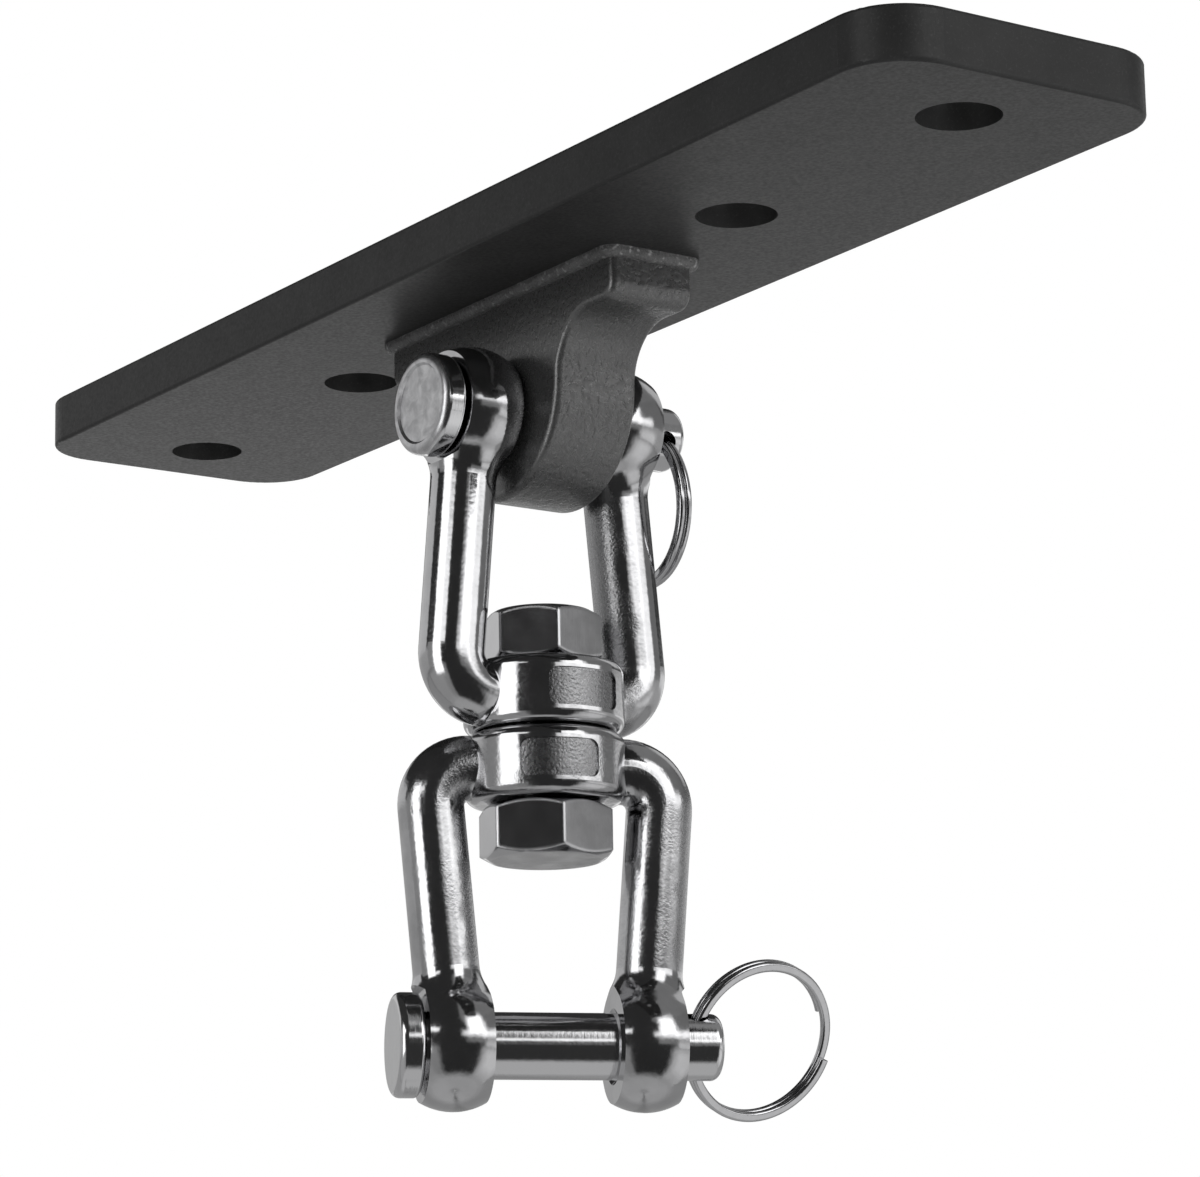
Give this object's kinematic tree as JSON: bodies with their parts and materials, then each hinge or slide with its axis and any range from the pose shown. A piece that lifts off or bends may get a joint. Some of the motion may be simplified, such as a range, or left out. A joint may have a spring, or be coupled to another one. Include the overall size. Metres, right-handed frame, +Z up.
{
  "type": "swivelling ceiling hook",
  "caption": "Steel ceiling plate with a welded lug, from which a swivel with a jaw at each end hangs on headed pins kept by split rings.",
  "frame": {"origin": "centre of the plate's upper face, which lies against the ceiling", "axes": "+X along the plate, +Y along the upper pin from its head to its split ring, +Z up into the ceiling"},
  "size_m": [0.24, 0.0691, 0.133],
  "materials": {
    "black_coat": "satin black powder coat on steel",
    "forged_steel": "polished cast stainless steel, faintly uneven",
    "turned_steel": "turned and polished stainless steel",
    "hex_steel": "plain bright stainless steel",
    "ring_wire": "bright stainless spring wire"
  },
  "bodies": {
    "root": {"ceiling_plate": "black_coat", "hanger_lug": "black_coat", "weld_bead": "black_coat"},
    "upper_jaw_body": {"upper_jaw": "forged_steel"},
    "upper_pin_body": {"upper_pin": "turned_steel"},
    "upper_ring_body": {"upper_split_ring": "ring_wire"},
    "bolt_body": {"swivel_bolt": "hex_steel", "swivel_nut": "hex_steel"},
    "lower_jaw_body": {"lower_jaw": "forged_steel"},
    "lower_pin_body": {"lower_pin": "turned_steel"},
    "lower_ring_body": {"lower_split_ring": "ring_wire"}
  },
  "joints": [
    {"name": "jaw_swing", "type": "hinge", "parent": "root", "child": "upper_jaw_body", "pos_m": [0, 0, -0.0267], "axis": [0, 1, 0], "range_deg": [-70, 70]},
    {"name": "upper_pin_turn", "type": "hinge", "parent": "root", "child": "upper_pin_body", "pos_m": [0, 0, -0.0267], "axis": [0, 1, 0], "range_deg": [-140, 100]},
    {"name": "upper_ring_swing", "type": "hinge", "parent": "upper_pin_body", "child": "upper_ring_body", "pos_m": [0, 0.02044, -0.0267], "axis": [0.9397, 0, -0.342], "range_deg": [0, 140]},
    {"name": "bolt_turn", "type": "hinge", "parent": "upper_jaw_body", "child": "bolt_body", "pos_m": [0, 0, -0.07565], "axis": [0, 0, 1], "continuous": true},
    {"name": "swivel_turn", "type": "hinge", "parent": "upper_jaw_body", "child": "lower_jaw_body", "pos_m": [0, 0, -0.07565], "axis": [0, 0, 1], "continuous": true},
    {"name": "lower_pin_turn", "type": "hinge", "parent": "lower_jaw_body", "child": "lower_pin_body", "pos_m": [0, 0, -0.1226], "axis": [0.3681, 0.9298, 0], "continuous": true},
    {"name": "lower_ring_swing", "type": "hinge", "parent": "lower_pin_body", "child": "lower_ring_body", "pos_m": [0.00815, 0.02058, -0.1226], "axis": [0.4076, -0.1614, 0.8988], "range_deg": [-97, 63]}
  ]
}
